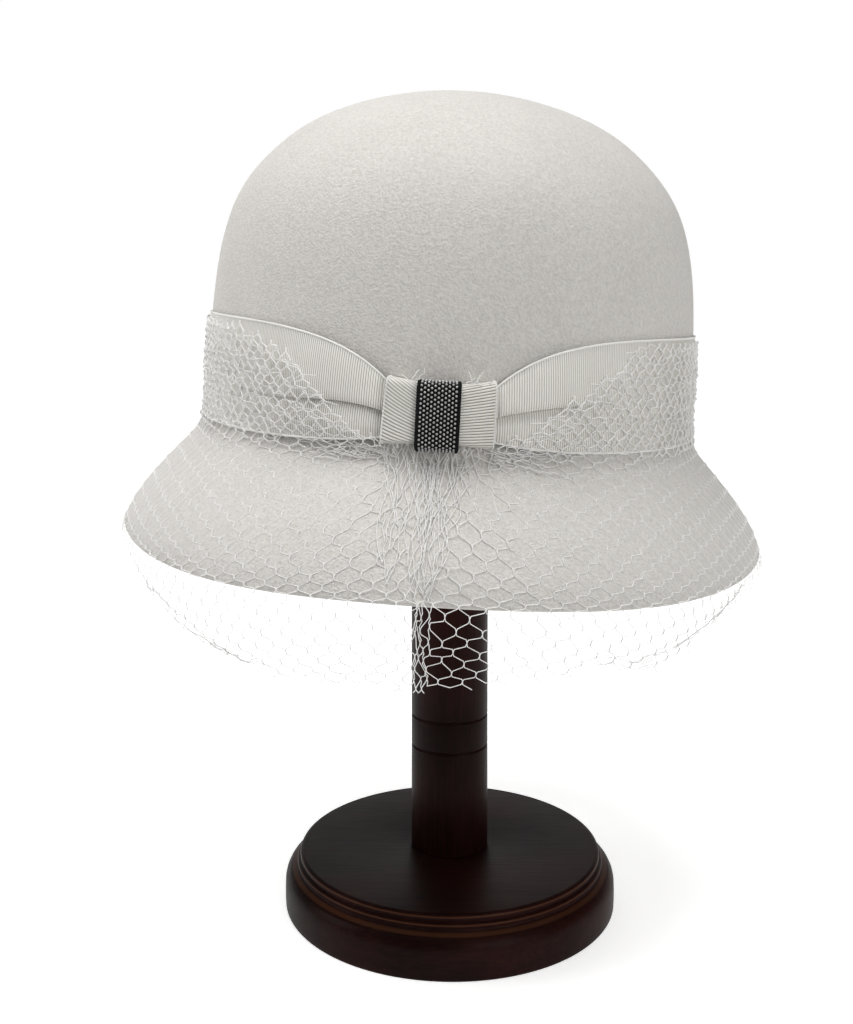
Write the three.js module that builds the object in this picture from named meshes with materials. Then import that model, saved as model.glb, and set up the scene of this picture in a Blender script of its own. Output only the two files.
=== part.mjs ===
// A felt cloche hat with a grosgrain band, a flat bow and a net veil, on a turned wooden hat stand.
// Units are millimetres and +Z is up. The origin is the centre of the stand's underside,
// and the bow at the front of the hat faces -Y.
import * as THREE from "three";

const degrees = THREE.MathUtils.degToRad;

// How the hat sits on the stand
const HEADLINE_HEIGHT = 175.3; // the hat's headline above the surface under the stand
const HAT_SHIFT = -0.9; // the hat's axis stands this far along X from the post's
const HAT_LEAN = degrees(3); // the +X side of the hat is lower
const HAT_TURN = degrees(-2.4); // the bow is turned a little to -X
const SEAT = 0.3; // gap between pieces that touch

// Felt hood
const FELT = 2.5;
const HEAD_HALF_WIDTH = 84.5; // outer face of the crown at the headline
const HEAD_OVAL = 1.15; // length of the crown over its width
const CROWN_HEIGHT = 114.4;
const BRIM = {
  side: { flare: 26, drop: 36.5 },
  front: { flare: 27, drop: 37.5 },
  back: { flare: 24, drop: 36 },
};
const BRIM_DROOP = 2.3; // the brim hangs this much lower halfway between its front and its sides
const FELT_COLUMNS = 56;

// The crown's outline, as shares of its height and of its half width,
// with the number of rows of facets down to the next entry
const CROWN_OUTLINE = [
  { up: 1, out: 0, rows: 1 },
  { up: 0.987, out: 0.25, rows: 2 },
  { up: 0.93, out: 0.51, rows: 2 },
  { up: 0.84, out: 0.715, rows: 2 },
  { up: 0.69, out: 0.89, rows: 2 },
  { up: 0.5, out: 0.972, rows: 2 },
  { up: 0.23, out: 1, rows: 1 },
  { up: 0.07, out: 1, rows: 1 },
  { up: 0, out: 1.008, rows: 1 },
];

// The brim's outline below the headline, as shares of its flare and of its drop
const BRIM_OUTLINE = [
  { out: 0.15, down: 0.17, rows: 1 },
  { out: 0.4, down: 0.37, rows: 1 },
  { out: 0.69, down: 0.61, rows: 1 },
  { out: 0.91, down: 0.84, rows: 1 },
  { out: 1, down: 1, rows: 0 },
];

// Ribbon band and its bow
const RIBBON = 1;
const BAND_WIDTH = 34.5;
const BOW_HALF_ANGLE = degrees(9.8);
const GATHER_FADE = degrees(11); // how fast the band spreads out again beside the bow
const GATHERED = { top: 18.7, bottom: 3.8 }; // edges of the band inside the bow
const TUCK_FADE = degrees(40); // the tuck has run out this far from the front
const WRAP_HALF_ANGLE = degrees(3.9);
const BOW_LIFT = 3; // thickness of the gathered band inside the bow
const WAIST = 1; // the bow is this much slimmer at its middle

// Cross-section of the tucked band: share of its width from the top, and lift off the felt
const TUCK = [
  { share: 0, lift: 0 },
  { share: 0.24, lift: 2.3 },
  { share: 0.48, lift: 3.4 },
  { share: 0.56, lift: 0.9 },
  { share: 0.78, lift: 1.6 },
  { share: 1, lift: 0 },
];

// Veil
const NET = 1;
const NET_GAP = 1; // between the net and what it lies on
const NET_COLUMNS = 20;
const NET_ROWS = 5;
const NET_HOLE = 0.8; // size of a gap over the size of its cell
const HANG = 27; // longest fall below the brim
const HANG_START = degrees(80); // the net's slope where it leaves the brim
const HANG_END = degrees(128); // its slope at the lower edge, curling inward

// Upper and lower edge of the veil by angle from the front, in degrees.
// -1 is the band's top, 0 the headline, 1 the brim's edge and 2 the longest fall.
const VEIL_EDGES = [
  { angle: 0, top: 0.1, bottom: 1.88 },
  { angle: 14, top: 0.06, bottom: 1.86 },
  { angle: 30, top: -0.4, bottom: 1.76 },
  { angle: 40, top: -0.7, bottom: 1.58 },
  { angle: 48, top: -0.92, bottom: 1.34 },
  { angle: 56, top: -1, bottom: 1.12 },
  { angle: 66, top: -1, bottom: 1.02 },
  { angle: 82, top: -1, bottom: 0.97 },
  { angle: 104, top: -1, bottom: 0.6 },
  { angle: 135, top: -0.8, bottom: -0.1 },
];

// Stand
const BASE_HEIGHT = 19.6;
const POST_RADIUS = 13.8;
const TENON = { radius: 8, length: 10 };
const GROOVES = [57.2, 68.2]; // heights of the two rings cut round the post
const GROOVE = { half: 0.9, depth: 0.8 };
const HEAD = { radius: 48, dome: 30, rim: 4 };
const TIP_GAP = 0.55; // between the dome's top and the inside of the crown's tip
const BASE_SEGMENTS = 44;
const POST_SEGMENTS = 26;
const HEAD_SEGMENTS = 32;

// The foot's moulding from the floor up
const BASE_OUTLINE = [
  { radius: 59.3, height: 0 },
  { radius: 59.6, height: 0.8 },
  { radius: 59.5, height: 9.4 },
  { radius: 58.6, height: 12.2 },
  { radius: 56.6, height: 13.9 },
  { radius: 55.1, height: 14.9 },
  { radius: 55.2, height: 16.4 },
  { radius: 54.2, height: 17.4 },
  { radius: 53.4, height: BASE_HEIGHT },
];

const MATERIALS = {
  felt: { color: 0xe4e1da, roughness: 0.95 },
  ribbon: { color: 0xeee8da, roughness: 0.6 },
  beads: { color: 0x17161a, roughness: 0.4 },
  net: { color: 0xf3f1ec, roughness: 0.7 },
  wood: { color: 0x2b1712, roughness: 0.35 },
};

function node(name, geometry, material) {
  geometry.computeVertexNormals();
  const mesh = new THREE.Mesh(geometry, new THREE.MeshStandardMaterial(MATERIALS[material]));
  mesh.name = name;
  return mesh;
}

// A smooth reading of one column of a table, mirrored about the front
function readTable(table, key, column, at) {
  const keys = table.map((row) => row[key]);
  const values = table.map((row) => row[column]);
  const curve = new THREE.CubicInterpolant(keys, values, 1);
  return curve.evaluate(THREE.MathUtils.clamp(at, keys[0], keys.at(-1)))[0];
}

// Closed surfaces are collected as corner points and triangles.
class Surface {
  constructor() {
    this.points = [];
    this.triangles = [];
  }

  add(point) {
    this.points.push(point);
    return this.points.length - 1;
  }

  // Four corners, counter-clockwise seen from outside
  quad(a, b, c, d) {
    this.triangle(a, b, c);
    this.triangle(a, c, d);
  }

  triangle(a, b, c) {
    const [p, q, r] = [a, b, c].map((index) => this.points[index]);
    const flat = 1e-4;
    if (p.distanceTo(q) > flat && q.distanceTo(r) > flat && r.distanceTo(p) > flat) {
      this.triangles.push(a, b, c);
    }
  }

  geometry() {
    const geometry = new THREE.BufferGeometry().setFromPoints(this.points);
    geometry.setIndex(this.triangles);
    return geometry;
  }
}

// A closed wall between two grids of points. Rows run downward and columns to the right,
// both seen from outside.
function wall(outer, inner, closedRound) {
  const surface = new Surface();
  const front = outer.map((row) => row.map((point) => surface.add(point)));
  const back = inner.map((row) => row.map((point) => surface.add(point)));
  const last = outer.length - 1;
  const columns = outer[0].length;
  const steps = closedRound ? columns : columns - 1;
  for (let column = 0; column < steps; column++) {
    const next = (column + 1) % columns;
    for (let row = 0; row < last; row++) {
      surface.quad(front[row][column], front[row + 1][column], front[row + 1][next], front[row][next]);
      surface.quad(back[row][column], back[row][next], back[row + 1][next], back[row + 1][column]);
    }
    surface.quad(front[0][column], front[0][next], back[0][next], back[0][column]);
    surface.quad(front[last][next], front[last][column], back[last][column], back[last][next]);
  }
  if (!closedRound) {
    const end = columns - 1;
    for (let row = 0; row < last; row++) {
      surface.quad(front[row + 1][0], front[row][0], back[row][0], back[row + 1][0]);
      surface.quad(front[row][end], front[row + 1][end], back[row + 1][end], back[row][end]);
    }
  }
  return surface.geometry();
}

// Points of a grid: rows by columns, each made by place(row, column)
function grid(rows, columns, place) {
  return rows.map((row) => columns.map((column) => place(row, column)));
}

// Even steps from one value to another, both included
function steps(from, to, count) {
  return Array.from({ length: count + 1 }, (_, step) => from + ((to - from) * step) / count);
}

// One outline of the felt from the tip down to the brim's edge
function feltOutline(brim, stretch) {
  const reach = HEAD_HALF_WIDTH * stretch;
  const crown = CROWN_OUTLINE.map(({ up, out }) => new THREE.Vector2(out * reach, up * CROWN_HEIGHT));
  const flare = BRIM_OUTLINE.map(
    ({ out, down }) => new THREE.Vector2(reach + out * brim.flare, -down * brim.drop),
  );
  return new THREE.SplineCurve([...crown, ...flare]);
}

const OUTLINES = {
  side: feltOutline(BRIM.side, 1),
  front: feltOutline(BRIM.front, HEAD_OVAL),
  back: feltOutline(BRIM.back, HEAD_OVAL),
};
const OUTLINE_STEPS = CROWN_OUTLINE.length + BRIM_OUTLINE.length - 1;
const HEADLINE_SHARE = (CROWN_OUTLINE.length - 1) / OUTLINE_STEPS;

// The felt's outer face: share 0 is the tip and 1 the brim's edge, angle 0 is the front
// and a quarter turn is the +X side.
function feltFace(share, angle) {
  const side = OUTLINES.side.getPoint(share);
  const end = OUTLINES[Math.cos(angle) > 0 ? "front" : "back"].getPoint(share);
  const across = Math.sin(angle);
  const along = Math.cos(angle);
  const height = side.y * across * across + end.y * along * along;
  const brim = along > 0 ? Math.max(0, -end.y / BRIM.front.drop) : 0;
  const droop = BRIM_DROOP * brim * (2 * across * along) ** 2;
  return new THREE.Vector3(side.x * across, -end.x * along, height - droop);
}

function feltNormal(share, angle) {
  const step = 1e-3;
  const above = feltFace(Math.max(share - step, 0), angle);
  const below = feltFace(Math.min(share + step, 1), angle);
  const left = feltFace(Math.max(share, step), angle - step);
  const right = feltFace(Math.max(share, step), angle + step);
  return below.sub(above).cross(right.sub(left)).normalize();
}

// A point held off the felt by a lift
function offFelt(share, angle, lift) {
  if (share === 0) {
    return new THREE.Vector3(0, 0, CROWN_HEIGHT + lift);
  }
  return feltFace(share, angle).addScaledVector(feltNormal(share, angle), lift);
}

// The share of the outline at a height on the crown's wall
function shareAt(height) {
  let [high, low] = [0, HEADLINE_SHARE];
  for (let step = 0; step < 40; step++) {
    const middle = (high + low) / 2;
    if (OUTLINES.side.getPoint(middle).y > height) {
      high = middle;
    } else {
      low = middle;
    }
  }
  return (high + low) / 2;
}

function feltHood() {
  const entries = [...CROWN_OUTLINE, ...BRIM_OUTLINE];
  const shares = entries.flatMap(({ rows }, entry) =>
    steps(entry, entry + 1, Math.max(rows, 1))
      .slice(0, Math.max(rows, 1))
      .map((step) => step / OUTLINE_STEPS),
  );
  const angles = steps(0, 2 * Math.PI, FELT_COLUMNS).slice(0, -1);
  const outer = grid(shares, angles, (share, angle) => offFelt(share, angle, 0));
  const inner = grid(shares, angles, (share, angle) => offFelt(share, angle, -FELT));
  return wall(outer, inner, true);
}

// How far the band is gathered: 1 at the bow, 0 where it lies flat
function gather(angle) {
  const beside = Math.max(0, Math.abs(angle) - BOW_HALF_ANGLE);
  return Math.exp(-beside / GATHER_FADE);
}

// How deep the tuck is: 1 at the bow, 0 where it has run out
function tuck(angle) {
  return 1 - THREE.MathUtils.smoothstep(Math.abs(angle), BOW_HALF_ANGLE, TUCK_FADE);
}

function bandLift(row, angle) {
  const pressed = Math.abs(angle) < BOW_HALF_ANGLE * 1.15 ? BOW_LIFT - RIBBON : Infinity;
  return SEAT + Math.min(row.lift * tuck(angle), pressed);
}

function hatBand() {
  const near = steps(-TUCK_FADE, TUCK_FADE, 26);
  const far = steps(TUCK_FADE, 2 * Math.PI - TUCK_FADE, 36).slice(1, -1);
  const place = (row, angle, thickness) => {
    const from = Math.abs(angle) > Math.PI ? angle - 2 * Math.PI : angle;
    const top = THREE.MathUtils.lerp(BAND_WIDTH, GATHERED.top, gather(from));
    const bottom = THREE.MathUtils.lerp(0, GATHERED.bottom, gather(from));
    const height = THREE.MathUtils.lerp(top, bottom, row.share);
    return offFelt(shareAt(height), from, bandLift(row, from) + thickness);
  };
  const angles = [...near, ...far];
  const outer = grid(TUCK, angles, (row, angle) => place(row, angle, RIBBON));
  const inner = grid(TUCK, angles, (row, angle) => place(row, angle, 0));
  return wall(outer, inner, true);
}

// A ribbon wrapped round the front of the band, open only towards the felt
function sleeve(halfAngle, columns, waist, size) {
  const middle = (size.top + size.bottom) / 2;
  const corner = 1.6;
  const path = [
    { up: 1, inset: 0, lift: 0.45, flat: true },
    { up: 1, inset: 0, lift: size.lift - corner },
    { up: 1, inset: corner, lift: size.lift },
    { up: 0, inset: 0, lift: size.lift + 0.3 },
    { up: -1, inset: corner, lift: size.lift },
    { up: -1, inset: 0, lift: size.lift - corner },
    { up: -1, inset: 0, lift: 0.45, flat: true },
  ];
  const half = (size.top - size.bottom) / 2;
  const place = (point, angle, thickness) => {
    const slim = waist * (1 - Math.abs(angle) / halfAngle);
    const height = middle + point.up * (half - slim - point.inset - thickness);
    const lift = point.flat ? point.lift : point.lift - thickness;
    return offFelt(shareAt(height), angle, lift);
  };
  const angles = steps(-halfAngle, halfAngle, columns);
  const outer = grid(path, angles, (point, angle) => place(point, angle, 0));
  const inner = grid(path, angles, (point, angle) => place(point, angle, RIBBON));
  return wall(outer, inner, false);
}

const KNOT_SIZE = {
  top: GATHERED.top + SEAT + RIBBON + WAIST,
  bottom: GATHERED.bottom - SEAT - RIBBON - WAIST,
  lift: SEAT + BOW_LIFT + SEAT + RIBBON,
};
const WRAP_SIZE = {
  top: KNOT_SIZE.top - WAIST / 2 + SEAT + RIBBON,
  bottom: KNOT_SIZE.bottom + WAIST / 2 - SEAT - RIBBON,
  lift: KNOT_SIZE.lift + SEAT + RIBBON + 0.3,
};

// A point of the draped net: from the band's top at -1 over the brim's edge at 1 to its fall at 2
function drape(place, angle, lift) {
  const onBand = SEAT + RIBBON + NET_GAP + TUCK[2].lift * tuck(angle);
  const edge = 1.6;
  if (place <= 0) {
    return offFelt(shareAt(-place * BAND_WIDTH), angle, onBand + lift);
  }
  const settle = THREE.MathUtils.smoothstep(place, 0, 0.4);
  const rest = THREE.MathUtils.lerp(NET_GAP, edge, THREE.MathUtils.smoothstep(place, 0.6, 1));
  const stand = THREE.MathUtils.lerp(onBand, rest, settle);
  const share = THREE.MathUtils.lerp(HEADLINE_SHARE, 1, Math.min(place, 1));
  const point = offFelt(share, angle, stand + lift);
  const fall = Math.max(0, place - 1) * HANG;
  const bend = (HANG_END - HANG_START) / HANG;
  const slope = HANG_START + bend * fall;
  const out = (Math.sin(slope) - Math.sin(HANG_START)) / bend;
  const down = (Math.cos(HANG_START) - Math.cos(slope)) / bend;
  const outward = feltNormal(1, angle).setZ(0).normalize();
  return point.addScaledVector(outward, out).setZ(point.z - down);
}

// The net is a sheet of six-sided cells, each with a gap in it.
function veil() {
  const reach = degrees(VEIL_EDGES.at(-1).angle);
  const surface = new Surface();
  const corners = new Map();
  const openEdges = new Map();
  const place = (x, y, lift) => {
    const angle = THREE.MathUtils.mapLinear(x, 0, NET_COLUMNS + 0.5, -reach, reach);
    const from = Math.abs(THREE.MathUtils.radToDeg(angle));
    const top = readTable(VEIL_EDGES, "angle", "top", from);
    const bottom = readTable(VEIL_EDGES, "angle", "bottom", from);
    const down = (y + 2 / 3) / (NET_ROWS + 1 / 3);
    return drape(THREE.MathUtils.lerp(top, bottom, down), angle, lift);
  };
  const pair = (x, y) => ({
    outer: surface.add(place(x, y, NET)),
    inner: surface.add(place(x, y, 0)),
  });
  const corner = (x, y) => {
    const key = `${x.toFixed(3)} ${y.toFixed(3)}`;
    if (!corners.has(key)) {
      corners.set(key, { key, ...pair(x, y) });
    }
    return corners.get(key);
  };
  const around = [
    { x: 0, y: -2 / 3 },
    { x: -0.5, y: -1 / 3 },
    { x: -0.5, y: 1 / 3 },
    { x: 0, y: 2 / 3 },
    { x: 0.5, y: 1 / 3 },
    { x: 0.5, y: -1 / 3 },
  ];
  for (let row = 0; row < NET_ROWS; row++) {
    for (let column = 0; column < NET_COLUMNS; column++) {
      const x = column + 0.5 + (row % 2) / 2;
      const rim = around.map((step) => corner(x + step.x, row + step.y));
      const hole = around.map((step) => pair(x + step.x * NET_HOLE, row + step.y * NET_HOLE));
      for (let side = 0; side < 6; side++) {
        const next = (side + 1) % 6;
        surface.quad(rim[side].outer, rim[next].outer, hole[next].outer, hole[side].outer);
        surface.quad(rim[next].inner, rim[side].inner, hole[side].inner, hole[next].inner);
        surface.quad(hole[side].outer, hole[next].outer, hole[next].inner, hole[side].inner);
        const opposite = `${rim[next].key} ${rim[side].key}`;
        if (openEdges.has(opposite)) {
          openEdges.delete(opposite);
        } else {
          openEdges.set(`${rim[side].key} ${rim[next].key}`, [rim[side], rim[next]]);
        }
      }
    }
  }
  for (const [from, to] of openEdges.values()) {
    surface.quad(to.outer, from.outer, from.inner, to.inner);
  }
  return surface.geometry();
}

// A turned piece, from an outline that starts and ends on the axis
function turned(outline, segments) {
  const points = outline.map(({ radius, height }) => new THREE.Vector2(radius, height));
  const geometry = new THREE.LatheGeometry(points, segments);
  return geometry.rotateX(Math.PI / 2);
}

function standBase() {
  const socket = TENON.radius + SEAT;
  const floor = BASE_HEIGHT - TENON.length;
  const outline = [
    { radius: 0, height: 0 },
    ...BASE_OUTLINE,
    { radius: socket, height: BASE_HEIGHT },
    { radius: socket, height: floor },
    { radius: 0, height: floor },
  ];
  return turned(outline, BASE_SEGMENTS);
}

// The dome's top lies under the inside of the crown's tip.
const HEAD_TOP = HEADLINE_HEIGHT + (CROWN_HEIGHT - FELT) * Math.cos(HAT_LEAN) - TIP_GAP;
const HEAD_UNDERSIDE = HEAD_TOP - HEAD.dome - HEAD.rim;

function standPost() {
  const foot = BASE_HEIGHT + SEAT;
  const shoulder = HEAD_UNDERSIDE - SEAT;
  const grooves = GROOVES.flatMap((height) => [
    { radius: POST_RADIUS, height: height - GROOVE.half },
    { radius: POST_RADIUS - GROOVE.depth, height },
    { radius: POST_RADIUS, height: height + GROOVE.half },
  ]);
  const outline = [
    { radius: 0, height: foot - TENON.length },
    { radius: TENON.radius, height: foot - TENON.length },
    { radius: TENON.radius, height: foot },
    { radius: POST_RADIUS, height: foot },
    ...grooves,
    { radius: POST_RADIUS, height: shoulder },
    { radius: TENON.radius, height: shoulder },
    { radius: TENON.radius, height: shoulder + TENON.length },
    { radius: 0, height: shoulder + TENON.length },
  ];
  return turned(outline, POST_SEGMENTS);
}

function standHead() {
  const socket = TENON.radius + SEAT;
  const dome = steps(0, Math.PI / 2, 7).map((turn) => ({
    radius: HEAD.radius * Math.cos(turn),
    height: HEAD_TOP - HEAD.dome + HEAD.dome * Math.sin(turn),
  }));
  dome.at(-1).radius = 0;
  const outline = [
    { radius: 0, height: HEAD_UNDERSIDE + TENON.length },
    { radius: socket, height: HEAD_UNDERSIDE + TENON.length },
    { radius: socket, height: HEAD_UNDERSIDE },
    { radius: HEAD.radius - HEAD.rim / 2, height: HEAD_UNDERSIDE },
    ...dome,
  ];
  return turned(outline, HEAD_SEGMENTS);
}

const hat = new THREE.Group();
hat.name = "hat";
hat.position.set(HAT_SHIFT, 0, HEADLINE_HEIGHT);
hat.rotation.set(0, HAT_LEAN, HAT_TURN);
hat.add(
  node("felt_hood", feltHood(), "felt"),
  node("hat_band", hatBand(), "ribbon"),
  node("bow_knot", sleeve(BOW_HALF_ANGLE, 8, WAIST, KNOT_SIZE), "ribbon"),
  node("bead_wrap", sleeve(WRAP_HALF_ANGLE, 4, 0, WRAP_SIZE), "beads"),
  node("veil", veil(), "net"),
);

const part = new THREE.Group();
part.name = "cloche_hat_on_stand";
part.add(
  hat,
  node("stand_base", standBase(), "wood"),
  node("stand_post", standPost(), "wood"),
  node("stand_head", standHead(), "wood"),
);

export default part;
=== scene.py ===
# %% [markdown]
# # A felt cloche on a turned stand
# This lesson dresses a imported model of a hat: an off-white felt hood, a ribbed ribbon band drawn
# in under a flat bow, a black beaded wrap, a net veil and a dark wooden stand.
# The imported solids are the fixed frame. Every piece below is made in the same place and at the
# same size, in metres. It stands in for a plain solid, or is trim on one.

import math
import random

import bmesh
import bpy
import numpy as np
from mathutils import Matrix, Vector


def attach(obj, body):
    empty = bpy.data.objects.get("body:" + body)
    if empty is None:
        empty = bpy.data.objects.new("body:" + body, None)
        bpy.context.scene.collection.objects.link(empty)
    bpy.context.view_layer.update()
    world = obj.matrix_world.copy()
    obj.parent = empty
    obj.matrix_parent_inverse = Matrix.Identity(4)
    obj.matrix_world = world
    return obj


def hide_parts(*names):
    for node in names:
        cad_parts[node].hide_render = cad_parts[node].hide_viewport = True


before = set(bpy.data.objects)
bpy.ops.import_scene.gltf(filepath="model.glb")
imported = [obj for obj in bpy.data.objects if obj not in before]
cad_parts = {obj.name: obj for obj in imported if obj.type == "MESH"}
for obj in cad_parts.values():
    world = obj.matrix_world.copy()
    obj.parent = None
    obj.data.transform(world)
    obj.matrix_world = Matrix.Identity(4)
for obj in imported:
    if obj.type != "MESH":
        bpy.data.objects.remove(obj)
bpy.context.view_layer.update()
print("nodes in the frame:", sorted(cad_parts))

# %% [markdown]
# ## Shader maths
# A material is a graph of nodes. Wrapping a socket in a small class lets the graph be written as
# ordinary arithmetic, so that two noises blend as `0.6 * fibres + 0.4 * soil`, and not as three
# nodes and four links. Everything else goes through one method that makes a node, sets it up and
# feeds its sockets.

# %% Shader maths: sockets and finishes
class Socket:
    """One output in a material's graph, with arithmetic."""

    def __init__(self, finish, output):
        self.finish = finish
        self.output = output

    def math(self, operation, first, second):
        sockets = {0: first, 1: second}
        return self.finish.node("ShaderNodeMath", {"operation": operation}, sockets)

    def __add__(self, other):
        return self.math("ADD", self, other)

    def __radd__(self, other):
        return self.math("ADD", other, self)

    def __sub__(self, other):
        return self.math("SUBTRACT", self, other)

    def __rsub__(self, other):
        return self.math("SUBTRACT", other, self)

    def __mul__(self, other):
        return self.math("MULTIPLY", self, other)

    def __rmul__(self, other):
        return self.math("MULTIPLY", other, self)


class Graph:
    """The nodes of a material or of the world."""

    def __init__(self, tree):
        self.tree = tree

    def node(self, kind, settings, sockets, output=0):
        made = self.tree.nodes.new(kind)
        for key, value in settings.items():
            setattr(made, key, value)
        for key, value in sockets.items():
            self.feed(made.inputs[key], value)
        return Socket(self, made.outputs[output])

    def feed(self, entry, value):
        if isinstance(value, Socket):
            self.tree.links.new(value.output, entry)
        else:
            entry.default_value = value

    def smooth(self, value, low, high, at_low=0.0, at_high=1.0):
        settings = {"interpolation_type": "SMOOTHSTEP"}
        sockets = {"Value": value, "From Min": low, "From Max": high, "To Min": at_low, "To Max": at_high}
        return self.node("ShaderNodeMapRange", settings, sockets)


class Finish(Graph):
    """A procedural material for one of the hat's surfaces."""

    def __init__(self, name, constants):
        self.material = bpy.data.materials.new(name)
        self.material.use_nodes = True
        super().__init__(self.material.node_tree)
        self.shader = self.tree.nodes["Principled BSDF"]
        for socket, value in constants.items():
            self.shader.inputs[socket].default_value = value

    def place(self, stretch=(1, 1, 1)):
        spot = self.node("ShaderNodeTexCoord", {}, {}, "Object")
        return self.node("ShaderNodeMapping", {}, {"Vector": spot, "Scale": stretch})

    def noise(self, scale, detail, stretch=(1, 1, 1)):
        sockets = {"Vector": self.place(stretch), "Scale": scale, "Detail": detail}
        return self.node("ShaderNodeTexNoise", {}, sockets)

    def mix(self, share, low, high):
        settings = {"data_type": "RGBA"}
        return self.node("ShaderNodeMix", settings, {0: share, 6: low, 7: high}, 2)

    def bump(self, height, distance, strength):
        sockets = {"Height": height, "Distance": distance, "Strength": strength}
        self.feed(self.shader.inputs["Normal"], self.node("ShaderNodeBump", {}, sockets))

    def set(self, socket, value):
        self.feed(self.shader.inputs[socket], value)


print("shader helpers ready")

# %% [markdown]
# ## Felt
# Wool felt is a mat of fine crimped fibres with no weave. Close up it shows a grain of tiny tufts
# well under a millimetre across, faint clouds in its colour, and a soft sheen at grazing angles.
# Three sizes of noise give the tufts, the clumps that they form and the clouds, and the shader's
# sheen gives the fuzz.

# %% Felt finish
FELT_SHADE = (0.575, 0.553, 0.523, 1)
FELT_LIGHT = (0.73, 0.706, 0.671, 1)

felt = Finish("wool_felt", {
    "Roughness": 0.95, "Sheen Weight": 0.08, "Sheen Roughness": 0.6, "Specular IOR Level": 0.12,
})
tufts = felt.noise(1500, 4)
clumps = felt.noise(800, 3)
clouds = felt.noise(38, 2)
tone = felt.smooth(0.5 * tufts + 0.4 * clumps + 0.1 * clouds, 0.3, 0.7)
felt.set("Base Color", felt.mix(tone, FELT_SHADE, FELT_LIGHT))
felt.bump(0.65 * tufts + 0.35 * clumps, 0.0007, 0.8)
print("made", felt.material.name)

# %% [markdown]
# ## Ribbon
# The band is a cream ribbon with raised cross ribs. The ribs themselves are modelled, so the
# finish adds the fine fibres of the yarn, a little unevenness, and painted shade in the furrows.
# Each point carries how high it lies on its rib, and the finish paints the furrows darker by that
# number. On the right the number is held lower, which paints the shade of the net's layers on the
# ribbon. The woven edge is the same yarn without furrows.

# %% Ribbon finish
PAINTED_FURROW_SHADE = (0.40, 0.37, 0.32, 1)
YARN_SHADE = (0.84, 0.815, 0.77, 1)
YARN_LIGHT = (0.92, 0.90, 0.86, 1)
EDGE_SHADE = (0.82, 0.805, 0.765, 1)
EDGE_LIGHT = (0.92, 0.91, 0.88, 1)

ribbon = Finish("ribbed_ribbon", {
    "Sheen Weight": 0.15, "Sheen Roughness": 0.4, "Specular IOR Level": 0.3,
})
rib_shade = ribbon.node("ShaderNodeAttribute", {"attribute_name": "rib"}, {}, "Fac")
fibres = ribbon.noise(5000, 2)
soil = ribbon.noise(60, 3)
crest = ribbon.mix(ribbon.smooth(0.6 * fibres + 0.4 * soil, 0.3, 0.7), YARN_SHADE, YARN_LIGHT)
# Painted shade: the furrows take the darker colour by the rib height stored on each point
ribbon.set("Base Color", ribbon.mix(ribbon.smooth(rib_shade, 0.0, 0.9), PAINTED_FURROW_SHADE, crest))
ribbon.set("Roughness", 0.45 + 0.25 * fibres)
ribbon.bump(fibres, 0.0001, 0.5)

selvage = Finish("ribbon_selvage", {"Sheen Weight": 0.15, "Specular IOR Level": 0.3})
turns = selvage.noise(1800, 2)
selvage.set("Base Color", selvage.mix(turns, EDGE_SHADE, EDGE_LIGHT))
selvage.set("Roughness", 0.45 + 0.2 * turns)
selvage.bump(turns, 0.0001, 0.5)
print("made", ribbon.material.name, "and", selvage.material.name)

# %% [markdown]
# ## Beads, black cloth, net thread and wood
# The wrap is black cloth with silvery metal beads. The net is fine white thread. The stand is
# close-grained wood under a very dark stain and a satin lacquer, so its grain only shows as
# faint streaks. On the post the streaks run up, and on the foot they run across the board. Along
# the foot's mouldings warm bands are painted on: painted highlights, in the tone of rubbed stain.

# %% Trim and net finishes
BLACK_SHADE = (0.004, 0.004, 0.0045, 1)
BLACK_LIGHT = (0.016, 0.016, 0.017, 1)
SILVER_DULL = (0.40, 0.39, 0.38, 1)
SILVER_BRIGHT = (0.80, 0.79, 0.78, 1)
THREAD_SHADE = (0.86, 0.85, 0.83, 1)
THREAD_LIGHT = (0.94, 0.93, 0.915, 1)

black_cloth = Finish("black_cloth", {
    "Roughness": 0.85, "Sheen Weight": 0.03, "Specular IOR Level": 0.12,
})
weave = black_cloth.noise(3500, 2)
black_cloth.set("Base Color", black_cloth.mix(weave, BLACK_SHADE, BLACK_LIGHT))
black_cloth.bump(weave, 0.0003, 0.6)

silver = Finish("silver_bead", {"Metallic": 0.9})
tarnish = silver.noise(900, 2)
silver.set("Base Color", silver.mix(tarnish, SILVER_DULL, SILVER_BRIGHT))
silver.set("Roughness", 0.22 + 0.25 * tarnish)

thread = Finish("net_thread", {
    "Roughness": 0.6, "Sheen Weight": 0.15, "Specular IOR Level": 0.3,
    "Subsurface Weight": 0.6, "Subsurface Radius": (1, 1, 1), "Subsurface Scale": 0.0005,
})
plies = thread.noise(2500, 2)
thread.set("Base Color", thread.mix(plies, THREAD_SHADE, THREAD_LIGHT))
thread.bump(plies, 0.0001, 0.4)
print("made", [each.material.name for each in (black_cloth, silver, thread)])

# %% Wood finish
STAIN_DARK = (0.0050, 0.0016, 0.0012, 1)
STAIN_LIGHT = (0.023, 0.0064, 0.0048, 1)
# warm brown of the highlights painted along the foot's mouldings
WARM_HIGHLIGHT = (0.066, 0.025, 0.012, 1)
UP_THE_POST = (1, 1, 0.08)
ACROSS_THE_BOARD = (0.08, 1, 1)
# height and half width of each band of painted highlight on the foot's mouldings, in metres
HIGHLIGHT_MOULDINGS = ((0.0187, 0.0004), (0.0164, 0.0004), (0.0140, 0.0006))


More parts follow.
